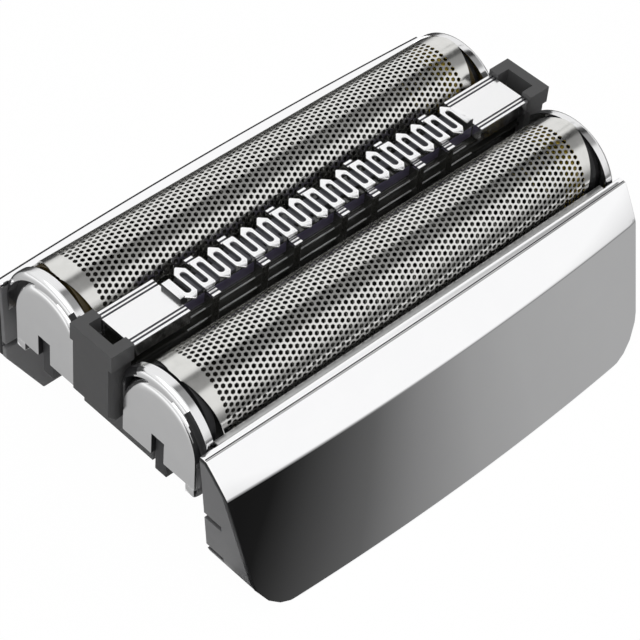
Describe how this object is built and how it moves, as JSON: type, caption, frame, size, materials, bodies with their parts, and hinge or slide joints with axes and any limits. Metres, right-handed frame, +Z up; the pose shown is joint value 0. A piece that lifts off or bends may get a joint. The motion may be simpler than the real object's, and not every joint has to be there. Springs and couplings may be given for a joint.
{
  "type": "shaver foil head",
  "caption": "Electric shaver head: sprung foil arches over oscillating blade rows, a floating comb trimmer between them, end brackets and bright flared covers.",
  "frame": {"origin": "on the trimmer's centre line, half way along it, in the plane on which the covers' lower edges stand", "axes": "+X along the foils, +Y towards the upright rear cover, +Z up through the foils"},
  "size_m": [0.0554, 0.0369, 0.0215],
  "materials": {
    "chrome_cover": "polished",
    "liner_plastic": "matte",
    "dark_plastic": "matte",
    "bracket_plastic": "satin",
    "foil_steel": "satin",
    "brown_plastic": "satin",
    "cap_metal": "satin",
    "blade_steel": "ground",
    "amber_plastic": "gloss",
    "coupling_plastic": "matte",
    "trimmer_steel": "bright",
    "support_plastic": "matte",
    "spring_steel": "drawn wire"
  },
  "bodies": {
    "frame": {"chassis": "dark_plastic", "left_bracket": "bracket_plastic", "right_bracket": "bracket_plastic", "front_cover": "chrome_cover", "rear_cover": "chrome_cover", "front_liner": "liner_plastic", "rear_liner": "liner_plastic", "trimmer_spring_left": "spring_steel", "trimmer_spring_right": "spring_steel", "front_spring_left": "spring_steel", "front_spring_right": "spring_steel", "rear_spring_left": "spring_steel", "rear_spring_right": "spring_steel"},
    "front_foil_unit": {"front_foil": "foil_steel", "front_foil_frame": "brown_plastic", "front_cap_left": "cap_metal", "front_cap_right": "cap_metal"},
    "front_cutter": {"front_blade_carrier": "amber_plastic", "front_blades": "blade_steel", "front_drive_coupling": "coupling_plastic"},
    "rear_foil_unit": {"rear_foil": "foil_steel", "rear_foil_frame": "brown_plastic", "rear_cap_left": "cap_metal", "rear_cap_right": "cap_metal"},
    "rear_cutter": {"rear_blade_carrier": "amber_plastic", "rear_blades": "blade_steel", "rear_drive_coupling": "coupling_plastic"},
    "trimmer": {"trimmer_guard": "trimmer_steel", "trimmer_support": "support_plastic"},
    "trimmer_cutter": {"trimmer_blade": "blade_steel", "trimmer_drive_post": "coupling_plastic"}
  },
  "joints": [
    {"name": "front_foil_float", "type": "slide", "parent": "frame", "child": "front_foil_unit", "axis": [0, 0, 1], "range_m": [-0.0015, 0], "stiffness_N_per_m": 400, "springref_m": 0.001, "deforming": ["front_spring_left", "front_spring_right"]},
    {"name": "front_cutter_stroke", "type": "slide", "parent": "front_foil_unit", "child": "front_cutter", "axis": [1, 0, 0], "range_m": [-0.001, 0.001]},
    {"name": "rear_foil_float", "type": "slide", "parent": "frame", "child": "rear_foil_unit", "axis": [0, 0, 1], "range_m": [-0.0015, 0], "stiffness_N_per_m": 400, "springref_m": 0.001, "deforming": ["rear_spring_left", "rear_spring_right"]},
    {"name": "rear_cutter_stroke", "type": "slide", "parent": "rear_foil_unit", "child": "rear_cutter", "axis": [1, 0, 0], "range_m": [-0.001, 0.001]},
    {"name": "trimmer_float", "type": "slide", "parent": "frame", "child": "trimmer", "axis": [0, 0, 1], "range_m": [-0.0012, 0], "stiffness_N_per_m": 400, "springref_m": 0.001, "deforming": ["trimmer_spring_left", "trimmer_spring_right"]},
    {"name": "trimmer_blade_stroke", "type": "slide", "parent": "trimmer", "child": "trimmer_cutter", "axis": [1, 0, 0], "range_m": [-0.0007, 0.0007]}
  ]
}
